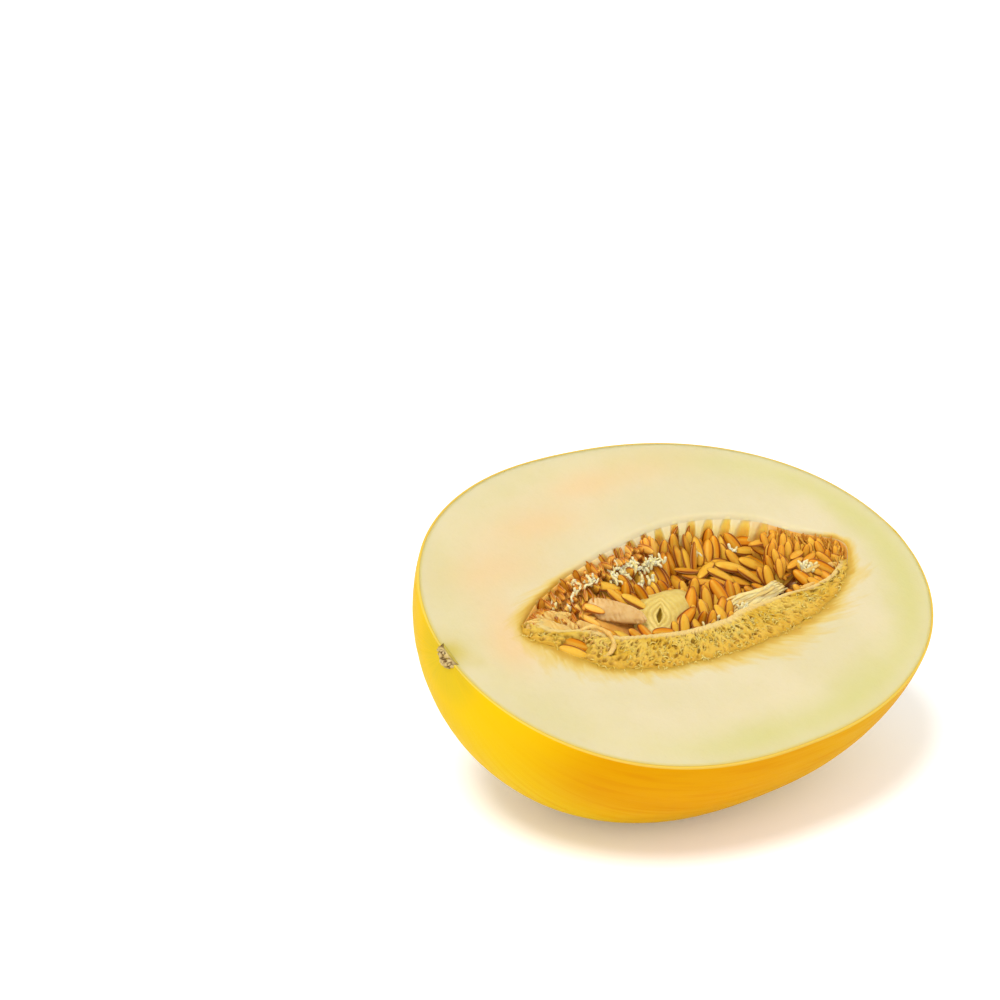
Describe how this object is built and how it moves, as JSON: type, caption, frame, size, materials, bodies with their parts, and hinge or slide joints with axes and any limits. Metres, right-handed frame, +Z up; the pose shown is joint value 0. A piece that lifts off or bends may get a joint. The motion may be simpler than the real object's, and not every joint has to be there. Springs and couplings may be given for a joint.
{
  "type": "halved melon",
  "caption": "Half of a ripe yellow melon cut lengthways, resting on its rind: pale flesh around a hollow of spongy pulp and almond-shaped seeds.",
  "frame": {"origin": "centre of the bottom of the object's box, level with the ground that the rind rests on", "axes": "+X along the fruit from the stalk end to the blossom end, +Y toward the higher edge of the cut face, +Z up"},
  "size_m": [0.2012, 0.146, 0.1042],
  "materials": {
    "rind": "waxy golden yellow rind with soft lengthways streaks and a low gloss",
    "flesh": "moist cream flesh, peach in places, greenish yellow near the rind",
    "pulp": "wet spongy greenish yellow pulp with cream lips and strands",
    "seed": "wet golden orange seed skin",
    "stalk_scar": "dry grey brown cork"
  },
  "bodies": {
    "root": {"melon_half": "flesh", "stem_scar": "stalk_scar", "seed_pulp": "pulp", "seed_01": "seed", "seed_02": "seed", "seed_03": "seed", "seed_04": "seed", "seed_05": "seed", "seed_06": "seed", "seed_07": "seed", "seed_08": "seed", "seed_09": "seed", "seed_10": "seed", "seed_11": "seed", "seed_12": "seed", "seed_13": "seed", "seed_14": "seed", "seed_15": "seed", "seed_16": "seed", "seed_17": "seed", "seed_18": "seed", "seed_19": "seed", "seed_20": "seed", "seed_21": "seed", "seed_22": "seed", "seed_23": "seed", "seed_24": "seed", "seed_25": "seed", "seed_26": "seed", "seed_27": "seed", "seed_28": "seed", "seed_29": "seed", "seed_30": "seed", "seed_31": "seed", "seed_32": "seed", "seed_33": "seed", "seed_34": "seed", "seed_35": "seed", "seed_36": "seed", "seed_37": "seed", "seed_38": "seed", "seed_39": "seed", "seed_40": "seed", "seed_41": "seed", "seed_42": "seed", "seed_43": "seed", "seed_44": "seed", "seed_45": "seed", "seed_46": "seed", "seed_47": "seed", "seed_48": "seed", "seed_49": "seed", "seed_50": "seed", "seed_51": "seed", "seed_52": "seed", "seed_53": "seed", "seed_54": "seed", "seed_55": "seed", "seed_56": "seed"}
  },
  "joints": []
}
